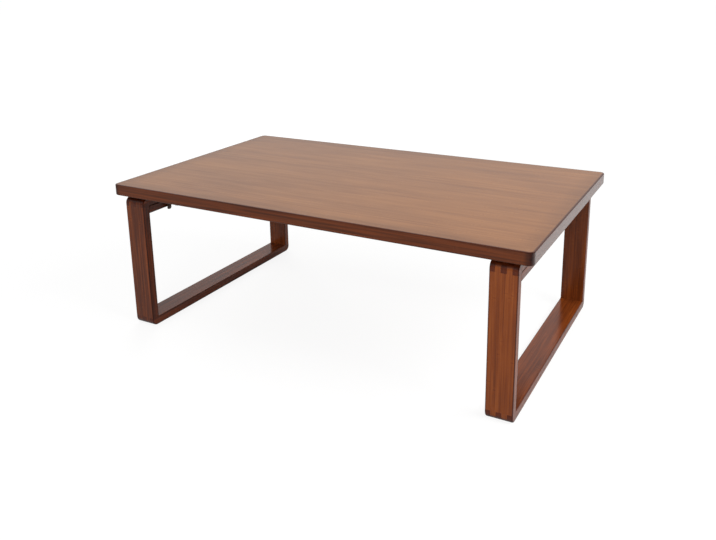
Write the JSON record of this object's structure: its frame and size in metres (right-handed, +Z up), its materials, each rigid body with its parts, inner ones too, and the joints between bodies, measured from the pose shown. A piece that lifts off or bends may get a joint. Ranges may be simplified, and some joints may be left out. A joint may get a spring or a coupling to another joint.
{
  "type": "folding low table",
  "caption": "Low bamboo table whose finger-jointed board loops fold inwards under the top on spring-catch brackets.",
  "frame": {"origin": "centre of the footprint, on the floor", "axes": "+X along the top's length towards the right loop, +Y along its depth away from the front edge, +Z up"},
  "size_m": [1, 0.6, 0.35],
  "materials": {
    "bamboo_top": "carbonised bamboo, satin lacquer",
    "bamboo_board": "carbonised bamboo, satin lacquer",
    "dark_steel": "dark bronze stoved enamel",
    "spring_steel": "tempered strip, oiled",
    "screw_steel": "dark zinc",
    "rubber": "matte"
  },
  "bodies": {
    "table_top": {"tabletop": "bamboo_top", "left_front_base_bracket": "dark_steel", "left_front_pivot_pin": "dark_steel", "left_front_catch_spring": "spring_steel", "left_back_base_bracket": "dark_steel", "left_back_pivot_pin": "dark_steel", "left_back_catch_spring": "spring_steel", "left_spring_rivets": "dark_steel", "left_base_screws": "screw_steel", "left_stop_pads": "rubber", "right_front_base_bracket": "dark_steel", "right_front_pivot_pin": "dark_steel", "right_front_catch_spring": "spring_steel", "right_back_base_bracket": "dark_steel", "right_back_pivot_pin": "dark_steel", "right_back_catch_spring": "spring_steel", "right_spring_rivets": "dark_steel", "right_base_screws": "screw_steel", "right_stop_pads": "rubber"},
    "left_loop": {"left_front_leg": "bamboo_board", "left_back_leg": "bamboo_board", "left_top_rail": "bamboo_board", "left_bottom_rail": "bamboo_board", "left_stiffener": "bamboo_board", "left_front_leaf_bracket": "dark_steel", "left_back_leaf_bracket": "dark_steel", "left_leaf_screws": "screw_steel"},
    "right_loop": {"right_front_leg": "bamboo_board", "right_back_leg": "bamboo_board", "right_top_rail": "bamboo_board", "right_bottom_rail": "bamboo_board", "right_stiffener": "bamboo_board", "right_front_leaf_bracket": "dark_steel", "right_back_leaf_bracket": "dark_steel", "right_leaf_screws": "screw_steel"}
  },
  "joints": [
    {"name": "left_fold", "type": "hinge", "parent": "table_top", "child": "left_loop", "pos_m": [-0.409, 0, 0.314], "axis": [0, -1, 0], "range_deg": [0, 90], "deforming": ["left_front_catch_spring", "left_back_catch_spring"]},
    {"name": "right_fold", "type": "hinge", "parent": "table_top", "child": "right_loop", "pos_m": [0.409, 0, 0.314], "axis": [0, 1, 0], "range_deg": [0, 90], "deforming": ["right_front_catch_spring", "right_back_catch_spring"]}
  ]
}
